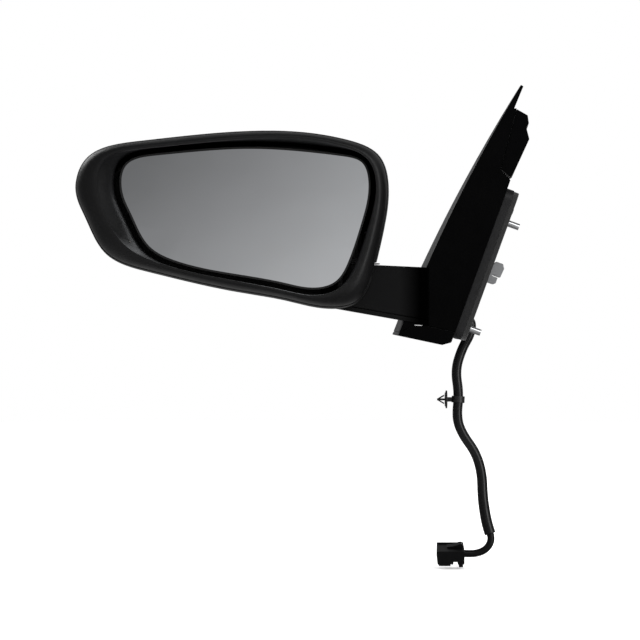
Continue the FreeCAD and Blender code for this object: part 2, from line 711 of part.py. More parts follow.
def make_fold_pivot():
    """Hollow steel post, detent ring under the hub, compression spring and its retainer above it."""
    tube = cylinder("pivot_post_tube", "Sizes.post_radius", "Sizes.post_top - Sizes.post_bottom",
                    place(PIVOT + Z * size("post_bottom")))
    bore = cylinder("pivot_post_bore", "Sizes.post_bore", "Sizes.post_top - Sizes.post_bottom",
                    place(PIVOT + Z * size("post_bottom")))
    keep(cut("pivot_post", tube, bore), "pivot_post")

    low = size("knuckle_top") + 0.1
    disc = cylinder("detent_ring_disc", "Sizes.post_radius + 1.7", "Sizes.hub_bottom - Sizes.knuckle_top - 0.15",
                    place(PIVOT + Z * low))
    hole = cylinder("detent_ring_hole", "Sizes.post_radius", "10", place(PIVOT + Z * low))
    keep(cut("detent_ring", disc, hole), "detent_ring")

    washer = cylinder("fold_washer_disc", "Sizes.knuckle_radius - 0.6", "0.7", place(PIVOT + Z * low))
    eye = cylinder("fold_washer_eye", "Sizes.post_radius + 1.9", "10", place(PIVOT + Z * (low - 1)))
    keep(cut("fold_washer", washer, eye), "fold_washer")

    wire_radius = 0.8
    mean = size("post_radius") + 1.9
    height = 12.0
    base = size("hub_top") + 0.4 + wire_radius
    helix = Part.makeHelix(height / 4, height, mean)
    circle = Part.Wire([Part.Circle(Vector(mean, 0, 0), Y, wire_radius).toShape()])
    coil = Part.Wire(helix.Edges).makePipeShell([circle], True, True)
    coil.translate(PIVOT + Z * base)
    keep(feature("fold_spring", coil), "fold_spring")

    seat = base + height + wire_radius + 0.1
    washer = cylinder("spring_retainer_washer", "Sizes.hub_radius", "2", place(PIVOT + Z * seat))
    nut = cylinder("spring_retainer_nut", "Sizes.post_radius + 2", "5", place(PIVOT + Z * seat))
    hole = cylinder("spring_retainer_hole", "Sizes.post_radius", "10", place(PIVOT + Z * (seat - 1)))
    keep(cut("spring_retainer", fuse("spring_retainer_blank", [washer, nut]), hole), "spring_retainer")


# ---------------------------------------------------------------- harness

EXIT_DEPTH = -12.6
EXIT = door_point(EXIT_DEPTH, 0, CORD_UP)
# Corners of the harness route, from inside the grommet down to the plug.
SHARED_ROUTE = [
    EXIT,
    Vector(-12.0, 0.0, -31.8),
    Vector(-11.6, 0.5, -43.0),
    Vector(-18.8, 1.4, -55.4),
    Vector(-24.0, 1.0, -72.0),
    Vector(-21.2, -0.4, -90.3),
    Vector(-23.2, -1.6, -109.0),
    Vector(-18.6, -1.2, -121.4),
    Vector(-8.2, 0.4, -135.6),
    Vector(-3.4, 1.6, -151.6),
    Vector(-2.9, 1.2, -170.0),
    Vector(-0.8, 0.2, -184.8),
    Vector(1.2, -0.4, -193.2),
]
SLEEVE_ROUTE = SHARED_ROUTE + [Vector(2.6, -0.7, -198.0)]
LEAD_ROUTE = SHARED_ROUTE + [
    Vector(3.9, -1.0, -201.2),
    Vector(2.0, -1.2, -207.3),
    Vector(-2.6, -1.2, -211.4),
    Vector(-8.6, -1.1, -213.2),
    Vector(-14.8, -1.0, -213.3),
    Vector(-19.6, -1.0, -213.1),
]
BASE_LOOM_ROUTE = [
    PIVOT + Z * 29.9,
    PIVOT + Z * -22.5,
    Vector(-77, -17, -25.5),
    Vector(-56, -12, -27),
    EXIT - DOOR_NORMAL * 15,
    EXIT,
]
HEAD_LOOM_ROUTE = [
    PIVOT + Z * 30.1,
    PIVOT + Z * 66,
    Vector(-122, -23, 77),
    Vector(-143, -29, 71),
    Vector(-153.8, -31, 60),
]


def cord_wire(label, corners):
    """Straight runs joined by tangent arcs, each as large as its two runs allow."""
    edges = []
    start = corners[0]
    radii = []
    for before, here, after in zip(corners, corners[1:], corners[2:]):
        into = here - before
        out = after - here
        turn = into.getAngle(out)
        radius = 0.45 * min(into.Length, out.Length) / math.tan(turn / 2)
        radii.append(radius)
        leg = radius * math.tan(turn / 2)
        first = here - into * (leg / into.Length)
        last = here + out * (leg / out.Length)
        middle = (last - here).normalize() + (first - here).normalize()
        belly = here + middle.normalize() * (radius / math.cos(turn / 2) - radius)
        edges.append(Part.LineSegment(start, first).toShape())
        edges.append(Part.Arc(first, belly, last).toShape())
        start = last
    edges.append(Part.LineSegment(start, corners[-1]).toShape())
    wire = Part.Wire(edges)
    print(label, "length %.1f" % wire.Length, "radii", " ".join("%.0f" % radius for radius in radii))
    return wire


def tube(wire, corners, radius):
    """Round solid along a wire, its volume compared with section times length."""
    start = corners[0]
    heading = corners[1] - start
    circle = Part.Wire([Part.Circle(start, heading, radius).toShape()])
    solid = wire.makePipeShell([circle], True, False)
    expected = math.pi * radius ** 2 * wire.Length
    if abs(solid.Volume - expected) > 0.02 * expected:
        raise RuntimeError("tube volume %.1f, expected %.1f" % (solid.Volume, expected))
    return solid


def make_harness():
    lead = cord_wire("harness_lead", LEAD_ROUTE)
    sleeve = cord_wire("harness_sleeve", SLEEVE_ROUTE)
    keep(feature("harness_lead", tube(lead, LEAD_ROUTE, size("lead_diameter") / 2)), "harness_lead")
    outer = tube(sleeve, SLEEVE_ROUTE, size("sleeve_diameter") / 2)
    inner = tube(sleeve, SLEEVE_ROUTE, size("sleeve_bore") / 2)
    keep(feature("harness_sleeve", outer.cut(inner)), "harness_sleeve")
    base_loom = cord_wire("base_loom", BASE_LOOM_ROUTE)
    keep(feature("base_loom", tube(base_loom, BASE_LOOM_ROUTE, size("loom_diameter") / 2)), "base_loom")
    head_loom = cord_wire("head_loom", HEAD_LOOM_ROUTE)
    keep(feature("head_loom", tube(head_loom, HEAD_LOOM_ROUTE, size("loom_diameter") / 2)), "head_loom")

    back = -size("gasket_thickness") - size("flange_thickness")
    centre = door_point(back, 0, CORD_UP)
    body = Part.makeCylinder(8.0, size("flange_thickness"), centre, DOOR_NORMAL)
    collar = Part.makeCylinder(10.5, 2.4, door_point(-size("gasket_thickness"), 0, CORD_UP), DOOR_NORMAL)
    grommet = body.fuse(collar).cut(outer)
    keep(feature("harness_grommet", grommet), "harness_grommet")


def make_harness_clip():
    """Fir-tree clip: a ring on the sleeve, a short neck, a round seat and a barbed arrow."""
    centre = Vector(-21.9, -0.6, -94.6)
    heading = Vector(-1.2, -1.2, -18.7).normalize()
    ring = Part.makeCylinder(size("sleeve_diameter") / 2 + 1.3, 5.0, centre - heading * 2.5, heading)
    neck = Part.makeBox(5.5, 2.6, 3.4, centre + Vector(-9.0, -1.3, -1.7))
    seat = Part.makeCylinder(6.9, 1.1, centre + Vector(-9.6, 0, 0), X)
    lip = Part.makeCylinder(5.4, 0.8, centre + Vector(-10.2, 0, 0), X)
    stem = Part.makeBox(6.5, 1.8, 1.6, centre + Vector(-16.2, -0.9, -0.8))
    barb = [(-15.9, 0), (-15.2, 1.1), (-11.0, 3.6), (-10.6, 2.6), (-14.2, 0.6), (-14.2, -0.6), (-10.6, -2.6),
            (-11.0, -3.6), (-15.2, -1.1)]
    arrow = xz_prism([(centre.x + x, centre.z + z) for x, z in barb], centre.y - 1.6, centre.y + 1.6)
    clip = ring.fuse([neck, seat, lip, stem, arrow])
    clip = clip.cut(Part.makeCylinder(size("sleeve_diameter") / 2 - 0.1, 8.0, centre - heading * 4, heading))
    keep(feature("harness_clip", clip.removeSplitter()), "harness_clip")


def make_plug():
    """Multi-pin plug: housing with a keyed shroud, a latch on top and the contacts inside."""
    length = size("plug_length")
    depth = size("plug_depth")
    height = size("plug_height")
    entry = LEAD_ROUTE[-1] + X * 2.1
    frame = Placement(entry, Rotation(X, size("plug_roll") - 5))
    box = Part.makeBox(length, depth, height, Vector(-length, -depth / 2, -height / 2))
    cavity = Part.makeBox(11, depth - 3, height - 3, Vector(-length, -depth / 2 + 1.5, -height / 2 + 1.5))
    entry_hole = Part.makeCylinder(size("lead_diameter") / 2, 2.1, Vector(0, 0, 0), -X)
    key_left = Part.makeBox(9, 4, 1.6, Vector(-length + 1, -depth / 2 + 1, -height / 2 - 1.6))
    key_right = Part.makeBox(3.2, 5, 2.4, Vector(-4.2, -depth / 2 + 0.5, -height / 2 - 2.4))
    rib = Part.makeBox(length - 2, 1.4, 1.0, Vector(-length + 1, depth / 2 - 4, height / 2))
    housing = box.cut(cavity).cut(entry_hole)
    housing = housing.fuse([key_left, key_right, rib])
    notch = Part.makeBox(3.4, 6, 3, Vector(-8.5, -depth / 2 - 0.5, -height / 2 - 0.5))
    housing = housing.cut(notch)
    housing.Placement = frame
    keep(feature("plug_housing", housing), "plug_housing")

    wedge = [(-13, 0), (-1.2, 0), (-0.6, 1.0), (-1.6, 3.2), (-3.0, 3.4), (-9, 1.5), (-13, 1.0)]
    latch = xz_prism([(x, z + height / 2) for x, z in wedge], -3.2, 3.2)
    latch.Placement = frame
    keep(feature("plug_latch", latch), "plug_latch")

    contacts = []
    for column in range(5):
        for row in (-2.0, 2.0):
            contact = Part.makeBox(5.8, 1.2, 0.8, Vector(-length + 5.2, -7.6 + column * 3.5, row - 0.4))
            contact.Placement = frame
            contacts.append(contact)
    keep(feature("plug_contacts", Part.makeCompound(contacts)), "plug_contacts")


make_head_cap()
make_head_bezel()
make_glass_stack()
make_tilt_ring()
make_plunger("yaw_plunger", Vector(-size("plunger_offset"), 0, 0))
make_plunger("pitch_plunger", Vector(0, 0, -size("plunger_offset")))
EARS = make_actuator()
make_head_frame(EARS)
make_bracket()
make_gasket()
make_studs()
make_locators()
make_covers()
make_fold_pivot()
make_harness()
make_harness_clip()
make_plug()

# ---------------------------------------------------------------- check and write

doc.recompute()
for item in doc.Objects:
    if {"Invalid", "Error"} & set(item.State):
        raise RuntimeError("%s failed: %s" % (item.Name, item.State))
for item in parts:
    if item.Shape.isNull() or not item.Shape.isValid():
        raise RuntimeError("%s has no valid shape" % item.Label)
for item in parts:
    item.Shape.exportStep("parts/%s.step" % item.Label)
    box = item.Shape.BoundBox
    print("%-18s %2d solids %9.1f mm3  x %6.1f..%6.1f  y %6.1f..%6.1f  z %6.1f..%6.1f" % (
        item.Label, len(item.Shape.Solids), item.Shape.Volume,
        box.XMin, box.XMax, box.YMin, box.YMax, box.ZMin, box.ZMax))
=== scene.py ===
import json
import math

import bmesh
import bpy
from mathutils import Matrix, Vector


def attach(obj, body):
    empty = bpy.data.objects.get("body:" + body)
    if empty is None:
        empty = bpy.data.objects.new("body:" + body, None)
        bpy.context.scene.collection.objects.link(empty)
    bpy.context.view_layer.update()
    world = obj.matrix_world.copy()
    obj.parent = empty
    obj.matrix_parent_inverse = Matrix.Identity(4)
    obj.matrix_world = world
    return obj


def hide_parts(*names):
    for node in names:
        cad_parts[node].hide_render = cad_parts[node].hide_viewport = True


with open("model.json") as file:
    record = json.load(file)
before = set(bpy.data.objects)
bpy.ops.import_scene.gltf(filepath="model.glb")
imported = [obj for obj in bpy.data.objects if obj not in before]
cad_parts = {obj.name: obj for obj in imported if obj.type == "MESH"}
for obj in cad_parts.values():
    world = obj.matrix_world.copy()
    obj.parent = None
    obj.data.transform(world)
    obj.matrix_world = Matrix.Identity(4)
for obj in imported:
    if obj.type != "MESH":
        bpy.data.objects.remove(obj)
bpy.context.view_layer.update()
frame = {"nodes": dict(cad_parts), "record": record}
NODES = frame["nodes"]
BODY_OF = {node: body for body, nodes in frame["record"]["behaviour"]["bodies"].items() for node in nodes}
LINK = bpy.context.scene.collection.objects.link

# ------------------------------------------------------------------ camera

camera_data = bpy.data.cameras.new("camera")
camera_data.sensor_width = 36
camera_data.lens = 146.1
camera = bpy.data.objects.new("camera", camera_data)
camera.location = (-0.1282, -2.0, -0.0335)
camera.rotation_euler = (math.pi / 2, 0, 0)
LINK(camera)
bpy.context.scene.camera = camera

# ------------------------------------------------------------------ the free lead and the tube over it

EXIT = (-0.023469, 0, -0.027640)
LEAD_ROUTE = [
    EXIT,
    (-0.0120, 0.0000, -0.0318),
    (-0.0116, 0.0005, -0.0430),
    (-0.0188, 0.0014, -0.0554),
    (-0.0240, 0.0010, -0.0720),
    (-0.0212, -0.0004, -0.0903),
    (-0.0232, -0.0016, -0.1090),
    (-0.0186, -0.0012, -0.1214),
    (-0.0082, 0.0004, -0.1356),
    (-0.0034, 0.0016, -0.1516),
    (-0.0029, 0.0012, -0.1700),
    (-0.0008, 0.0002, -0.1848),
    (0.0012, -0.0004, -0.1932),
    (0.0039, -0.0010, -0.2012),
    (0.0020, -0.0012, -0.2073),
    (-0.0026, -0.0012, -0.2114),
    (-0.0086, -0.0011, -0.2132),
    (-0.0148, -0.0010, -0.2133),
    (-0.0196, -0.0010, -0.2131),
]
LEAD_RADIUS = 0.00285

# The sleeve covers the lead down to its mouth, and widens over the last stretch.
MOUTH_HEIGHT = -0.1980
SLEEVE_OUTER = 0.00375
SLEEVE_BORE = 0.00318
SLEEVE_FLARE = 0.0006
SLEEVE_FLARE_RUN = 0.06
SLEEVE_SIDES = 40


def route_curve(name, points, radius):
    """A round cord along a smooth route, or a bare curve when its radius is 0."""
    data = bpy.data.curves.new(name, "CURVE")
    data.dimensions = "3D"
    spline = data.splines.new("NURBS")
    spline.points.add(len(points) - 1)
    for item, point in zip(spline.points, points):
        item.co = (*point, 1)
    spline.order_u = 3
    spline.use_endpoint_u = True
    spline.resolution_u = 20
    data.bevel_depth = radius
    data.bevel_resolution = 8
    data.use_fill_caps = radius > 0
    return bpy.data.objects.new(name, data)


def spline_points(points):
    """The points of the route's own spline, read from a curve with no bevel."""
    bare = route_curve("bare_route", points, 0)
    LINK(bare)
    bpy.context.view_layer.update()
    mesh = bpy.data.meshes.new_from_object(bare)
    line = [vertex.co.copy() for vertex in mesh.vertices]
    bpy.data.objects.remove(bare)
    return line


def tube_mesh(name, line, outer, inner, flare, flare_run):
    """Open tube with a wall and rolled lips, which follows the line and widens towards its far end."""
    lip = (outer - inner) / 2
    middle = (outer + inner) / 2
    last = len(line) - 1
    directions = []
    for index in range(len(line)):
        directions.append((line[min(index + 1, last)] - line[max(index - 1, 0)]).normalized())

    left = [0.0]
    for index in range(last, 0, -1):
        left.append(left[-1] + (line[index - 1] - line[index]).length)
    left.reverse()

    across = []
    side = directions[0].cross(Vector((0, 1, 0))).normalized()
    for along in directions:
        side = (side - along * side.dot(along)).normalized()
        across.append((side.copy(), along.cross(side)))

    # Each ring is a station on the line, a radius and a push along the line: out along the outside, round
    # the far lip, back along the bore and round the near lip.
    profile = [(index, outer + flare * max(0.0, 1 - run / flare_run), 0) for index, run in enumerate(left)]
    profile.append((last, middle, lip))
    profile += [(index, inner, 0) for index in range(last, -1, -1)]
    profile.append((0, middle, -lip))

    bm = bmesh.new()
    rings = []
    for index, radius, push in profile:
        u, v = across[index]
        centre = line[index] + directions[index] * push
        ring = []
        for step in range(SLEEVE_SIDES):
            turn = 2 * math.pi * step / SLEEVE_SIDES
            ring.append(bm.verts.new(centre + (u * math.cos(turn) + v * math.sin(turn)) * radius))
        rings.append(ring)
    for one, two in zip(rings, rings[1:] + rings[:1]):
        for step in range(SLEEVE_SIDES):
            after = (step + 1) % SLEEVE_SIDES
            bm.faces.new((one[step], one[after], two[after], two[step]))
    bmesh.ops.recalc_face_normals(bm, faces=bm.faces)
    mesh = bpy.data.meshes.new(name)
    bm.to_mesh(mesh)
    bm.free()
    mesh.shade_smooth()
    return bpy.data.objects.new(name, mesh)


lead = route_curve("door_lead", LEAD_ROUTE, LEAD_RADIUS)
LINK(lead)
covered = [point for point in spline_points(LEAD_ROUTE) if point.z > MOUTH_HEIGHT]
sleeve = tube_mesh("lead_sleeve", covered, SLEEVE_OUTER, SLEEVE_BORE, SLEEVE_FLARE, SLEEVE_FLARE_RUN)
LINK(sleeve)

# ------------------------------------------------------------------ finishes

# A wave texture's scale that puts its bands one metre apart.
BAND_SCALE = 0.314


class Finish:
    """A procedural material in object space, with blotches, varied roughness and layered bump."""

    def __init__(self, name, colour, roughness, metallic=0.0, **sockets):
        self.material = bpy.data.materials.new(name)
        self.material.use_nodes = True
        self.nodes = self.material.node_tree.nodes
        self.links = self.material.node_tree.links
        self.shader = self.nodes["Principled BSDF"]
        self.shader.inputs["Base Color"].default_value = (*colour, 1)
        self.shader.inputs["Roughness"].default_value = roughness
        self.shader.inputs["Metallic"].default_value = metallic
        for socket, value in sockets.items():
            self.shader.inputs[socket.replace("_", " ")].default_value = value
        self.colour = colour
        self.roughness = roughness
        self.place = self.nodes.new("ShaderNodeTexCoord").outputs["Object"]
        self.normal = None

    def stretched(self, scale, turn=(0, 0, 0)):
        """Coordinates for a texture that is scaled or turned."""
        mapping = self.nodes.new("ShaderNodeMapping")
        mapping.inputs["Scale"].default_value = scale
        mapping.inputs["Rotation"].default_value = turn
        self.links.new(self.place, mapping.inputs["Vector"])
        return mapping.outputs["Vector"]

    def noise(self, size, detail=4.0, rough=0.55, vector=None):
        """Noise whose features are about size metres across."""
        node = self.nodes.new("ShaderNodeTexNoise")
        node.inputs["Scale"].default_value = 1 / size
        node.inputs["Detail"].default_value = detail
        node.inputs["Roughness"].default_value = rough
        self.links.new(vector or self.place, node.inputs["Vector"])
        return node.outputs["Fac"]

    def cells(self, size):
        """Cells about size metres across."""
        node = self.nodes.new("ShaderNodeTexVoronoi")
        node.inputs["Scale"].default_value = 1 / size
        self.links.new(self.place, node.inputs["Vector"])
        return node.outputs["Distance"]

    def bands(self, size, direction="X", vector=None, distortion=0.0):
        """Parallel bands about size metres apart."""
        node = self.nodes.new("ShaderNodeTexWave")
        node.wave_type = "BANDS"
        node.bands_direction = direction
        node.inputs["Scale"].default_value = BAND_SCALE / size
        node.inputs["Distortion"].default_value = distortion
        self.links.new(vector or self.place, node.inputs["Vector"])
        return node.outputs["Fac"]

    def between(self, value, low, high, start=0.0, end=1.0):
        """Moves from low to high as value moves from start to end."""
        node = self.nodes.new("ShaderNodeMapRange")
        node.inputs["From Min"].default_value = start
        node.inputs["From Max"].default_value = end
        node.inputs["To Min"].default_value = low
        node.inputs["To Max"].default_value = high
        self.links.new(value, node.inputs["Value"])
        return node.outputs["Result"]

    def times(self, one, two):
        node = self.nodes.new("ShaderNodeMath")
        node.operation = "MULTIPLY"
        self.links.new(one, node.inputs[0])
        self.links.new(two, node.inputs[1])
        return node.outputs["Value"]

    def rough(self, value, spread):
        """Roughness moves by spread either way with value."""
        low = max(self.roughness - spread, 0.005)
        moved = self.between(value, low, self.roughness + spread, 0.3, 0.7)
        self.links.new(moved, self.shader.inputs["Roughness"])
        return self

    def mottle(self, value, share=0.2, other=None, start=0.3, end=0.7):
        """Colour moves between two tones with value."""
        other = other or tuple(min(1, part * (1 + share)) for part in self.colour)
        node = self.nodes.new("ShaderNodeMix")
        node.data_type = "RGBA"
        node.inputs["A"].default_value = (*[part * (1 - share) for part in self.colour], 1)
        node.inputs["B"].default_value = (*other, 1)
        self.links.new(self.between(value, 0, 1, start, end), node.inputs["Factor"])
        self.links.new(node.outputs["Result"], self.shader.inputs["Base Color"])
        return self

    def bump(self, value, depth, strength=1.0):
        """Adds relief of depth metres under what is there already."""
        node = self.nodes.new("ShaderNodeBump")
        node.inputs["Distance"].default_value = depth
        node.inputs["Strength"].default_value = strength
        self.links.new(value, node.inputs["Height"])
        if self.normal:
            self.links.new(self.normal, node.inputs["Normal"])
        self.normal = node.outputs["Normal"]
        self.links.new(self.normal, self.shader.inputs["Normal"])
        return self

    def fade(self, start, end):
        """Paints shade: turns to a dead black, with no gloss, from start to end along x, where the surface
        runs into the base's shade.
        """
        split = self.nodes.new("ShaderNodeSeparateXYZ")
        self.links.new(self.place, split.inputs["Vector"])
        amount = self.between(split.outputs["X"], 0, 1, start, end)
        self.links.new(amount, self.shader.inputs["Metallic"])
        node = self.nodes.new("ShaderNodeMix")
        node.data_type = "RGBA"
        node.inputs["A"].default_value = (*self.colour, 1)
        node.inputs["B"].default_value = (0.0008, 0.0008, 0.0008, 1)
        self.links.new(amount, node.inputs["Factor"])
        self.links.new(node.outputs["Result"], self.shader.inputs["Base Color"])
        return self


def moulded(name, colour, roughness, grain, depth, spread=0.05, share=0.2, **sockets):
    """Moulded plastic: spark-eroded grain, faint flow waviness, slow changes in sheen."""
    finish = Finish(name, colour, roughness, **sockets)
    slow = finish.noise(0.03, 3)
    finish.bump(finish.noise(0.012, 2), 0.00004, 0.5)
    finish.bump(finish.noise(grain, 3, 0.65), depth)
    finish.rough(finish.noise(0.006, 5), spread)
    return finish.mottle(slow, share)


def metal(name, colour, roughness, grain, depth, stretch=(1, 1, 1), spread=0.08, share=0.12, metallic=1.0,
          **sockets):
    """Metal with directional fine scratches and cloudy plating."""
    finish = Finish(name, colour, roughness, metallic, **sockets)
    finish.bump(finish.noise(grain, 4, 0.6, finish.stretched(stretch)), depth)
    finish.rough(finish.noise(0.004, 5), spread)
    return finish.mottle(finish.noise(0.008, 4), share)


# Where, along x, the arm runs into the shade of its base. That shade is painted onto the arm as dead black.
ARM_SHADE_START = -0.0680
ARM_SHADE_END = -0.0530

satin_black = moulded("satin_black", (0.0036, 0.0036, 0.0039), 0.43, 0.0007, 0.000012, spread=0.035,
                      share=0.12, Specular_IOR_Level=0.27)
textured_black = moulded("textured_black", (0.003, 0.003, 0.0032), 0.50, 0.0009, 0.00004, spread=0.06,
                         Specular_IOR_Level=0.2)
textured_black.bump(textured_black.cells(0.0008), 0.00003)
arm_black = moulded("arm_black", (0.0026, 0.0026, 0.0028), 0.40, 0.0007, 0.000012, spread=0.035,
                    share=0.0, Specular_IOR_Level=0.14)
# Painted shade: the arm's colour and gloss go to dead black towards the base.
arm_black.fade(ARM_SHADE_START, ARM_SHADE_END)
# Painted shade: near-black and almost without gloss, for the flat ends that lie in the base's shade.
painted_shade_black = moulded("painted_shade_black", (0.0007, 0.0007, 0.0008), 0.7, 0.0009, 0.00004, spread=0.08,
                     Specular_IOR_Level=0.03)
painted_shade_black.bump(painted_shade_black.cells(0.0008), 0.00003)
frame_plastic = moulded("frame_plastic", (0.006, 0.006, 0.0062), 0.48, 0.0012, 0.00003)
frame_plastic.bump(frame_plastic.noise(0.0015, 3, 0.6, frame_plastic.stretched((1, 1, 0.15))), 0.00003)
acetal = moulded("acetal", (0.70, 0.69, 0.64), 0.38, 0.0008, 0.00001, share=0.05, Subsurface_Weight=0.12)
slick_acetal = moulded("slick_acetal", (0.74, 0.73, 0.70), 0.28, 0.0010, 0.000008, share=0.04,
                       Subsurface_Weight=0.12)

cast_alloy = metal("cast_alloy", (0.008, 0.008, 0.0085), 0.46, 0.0009, 0.00006, metallic=0.0,
                   Specular_IOR_Level=0.22)
cast_alloy.bump(cast_alloy.cells(0.0016), 0.00004)
stud_steel = metal("stud_steel", (0.66, 0.67, 0.68), 0.26, 0.0006, 0.000012)
screw_steel = metal("screw_steel", (0.62, 0.61, 0.57), 0.30, 0.0005, 0.000014)
sintered_steel = metal("sintered_steel", (0.30, 0.30, 0.31), 0.44, 0.0004, 0.00003)
sintered_steel.bump(sintered_steel.cells(0.0006), 0.00002)
spring_steel = metal("spring_steel", (0.09, 0.09, 0.095), 0.42, 0.0008, 0.00002)
motor_steel = metal("motor_steel", (0.55, 0.56, 0.57), 0.28, 0.0012, 0.00001, stretch=(0.1, 1, 1))
contact_tin = metal("contact_tin", (0.74, 0.74, 0.72), 0.24, 0.0004, 0.000008)

foam = Finish("foam", (0.005, 0.005, 0.005), 0.92, Sheen_Weight=0.15, Sheen_Roughness=0.6)
foam.bump(foam.cells(0.0011), 0.00025)
foam.bump(foam.noise(0.0005, 4), 0.00006)
foam.rough(foam.noise(0.002), 0.05)
foam.mottle(foam.cells(0.0011), 0.45, start=0.1, end=0.6)

rubber = moulded("rubber", (0.0025, 0.0025, 0.0025), 0.52, 0.0006, 0.00003, spread=0.08,
                 Specular_IOR_Level=0.12)
grey_plastic = moulded("grey_plastic", (0.16, 0.163, 0.168), 0.42, 0.0008, 0.00002, share=0.07)
clip_plastic = moulded("clip_plastic", (0.005, 0.005, 0.005), 0.40, 0.0008, 0.00002)
plug_plastic = moulded("plug_plastic", (0.0022, 0.0022, 0.0024), 0.38, 0.0009, 0.00003,
                       Specular_IOR_Level=0.14)
plug_plastic.bump(plug_plastic.noise(0.0012, 3, 0.6, plug_plastic.stretched((0.2, 1, 1))), 0.00002)
lead_jacket = moulded("lead_jacket", (0.003, 0.003, 0.003), 0.32, 0.0009, 0.00002, spread=0.06,
                      Specular_IOR_Level=0.16)
lead_jacket.bump(lead_jacket.noise(0.009, 2), 0.00015, 0.6)
sleeve_tube = moulded("sleeve_tube", (0.003, 0.003, 0.0032), 0.26, 0.0012, 0.00001, spread=0.05,
                      Specular_IOR_Level=0.3)
sleeve_tube.bump(sleeve_tube.noise(0.007, 2), 0.0002, 0.6)

tape = Finish("tape", (0.016, 0.016, 0.016), 0.80, Sheen_Weight=0.25, Sheen_Roughness=0.5)
weave = tape.times(tape.bands(0.0006, "X"), tape.bands(0.0006, "Z"))
tape.bump(tape.bands(0.011, "X", tape.stretched((1, 1, 1), (0, 0.6, 0))), 0.0002, 0.6)
tape.bump(weave, 0.00012)
tape.rough(tape.noise(0.003), 0.08)
tape.mottle(weave, 0.4, start=0, end=1)

heater_film = Finish("heater_film", (0.55, 0.36, 0.17), 0.34)
tracks = heater_film.bands(0.006, "Z", distortion=1.5)
heater_film.bump(tracks, 0.00005)
heater_film.rough(heater_film.noise(0.004), 0.08)
heater_film.mottle(tracks, 0.1, (0.70, 0.68, 0.62), 0.42, 0.58)

mirror = Finish("mirror", (0.835, 0.855, 0.885), 0.018, 1.0, Coat_Weight=0.6, Coat_Roughness=0.01)
mirror.rough(mirror.noise(0.02, 5), 0.006)
mirror.mottle(mirror.noise(0.05, 2), 0.01)

FINISHES = {
    "base_bracket": cast_alloy,
    "foam_gasket": foam,
    "mounting_studs": stud_steel,
    "locator_pins": grey_plastic,
    "retaining_clip": grey_plastic,
    "cover_screws": screw_steel,
    "sail_cover": textured_black,
    "base_lower_cover": textured_black,
    "arm_cover_upper": arm_black,
    "arm_cover_lower": arm_black,
    "upper_seal": foam,
    "pivot_post": sintered_steel,
    "detent_ring": sintered_steel,
    "fold_washer": clip_plastic,
    "fold_spring": spring_steel,
    "spring_retainer": sintered_steel,
    "base_loom": tape,
    "harness_grommet": rubber,
    "harness_clip": clip_plastic,
    "plug_housing": plug_plastic,
    "plug_latch": plug_plastic,
    "plug_contacts": contact_tin,
    "head_frame": frame_plastic,
    "head_cap": satin_black,
    "head_bezel": satin_black,
    "bezel_screws": screw_steel,
    "actuator_body": acetal,
    "actuator_cover": acetal,
    "actuator_screws": screw_steel,
    "tilt_motors": motor_steel,
    "head_loom": tape,
    "tilt_ring": acetal,
    "yaw_pin": screw_steel,
    "pitch_pins": screw_steel,
    "glass_carrier": frame_plastic,
    "heater_pad": heater_film,
    "mirror_glass": mirror,
    "yaw_plunger": slick_acetal,
    "pitch_plunger": slick_acetal,
}


def dress(piece, finish):
    piece.data.materials.clear()
    piece.data.materials.append(finish.material)


# ------------------------------------------------------------------ edges that catch the light

# The width of each rounded edge in millimetres, and the record's material slot of the node.
EDGES = {
    "head_cap": (0.25, "satin_black"),
    "head_bezel": (0.7, "satin_black"),
    "sail_cover": (0.6, "textured_black"),
    "base_lower_cover": (0.6, "textured_black"),
    "arm_cover_upper": (1.0, "satin_black"),
    "arm_cover_lower": (0.25, "satin_black"),
    "base_bracket": (0.7, "cast_alloy"),
    "foam_gasket": (0.5, "foam"),
    "locator_pins": (0.4, "grey_plastic"),
    "retaining_clip": (0.3, "grey_plastic"),
    "cover_screws": (0.3, "screw_steel"),
    "harness_grommet": (0.5, "rubber"),
    "harness_clip": (0.25, "clip_plastic"),
    "plug_housing": (0.4, "plug_plastic"),
    "plug_latch": (0.25, "plug_plastic"),
    "plug_contacts": (0.1, "contact_tin"),
    "mirror_glass": (0.25, "mirror"),
    "glass_carrier": (0.3, "frame_plastic"),
    "head_frame": (0.5, "frame_plastic"),
    "actuator_body": (0.4, "white_plastic"),
    "actuator_cover": (0.4, "white_plastic"),
    "pivot_post": (0.4, "stud_steel"),
    "detent_ring": (0.3, "sintered_steel"),
    "spring_retainer": (0.4, "stud_steel"),
    "tilt_ring": (0.3, "pom"),
    "tilt_motors": (0.4, "motor_steel"),
    "upper_seal": (0.4, "foam"),
}

# Nodes whose flat ends face the front or the back and lie in the base's shade. Those ends are painted with
# a near-black, almost glossless shade.
SHADED_SIDES = ("sail_cover", "base_lower_cover", "upper_seal")
SHADED_FACING = 0.9

SAME_POINT = 2e-6
FLAT_ANGLE = math.radians(0.4)
SHARP_ANGLE = math.radians(32)


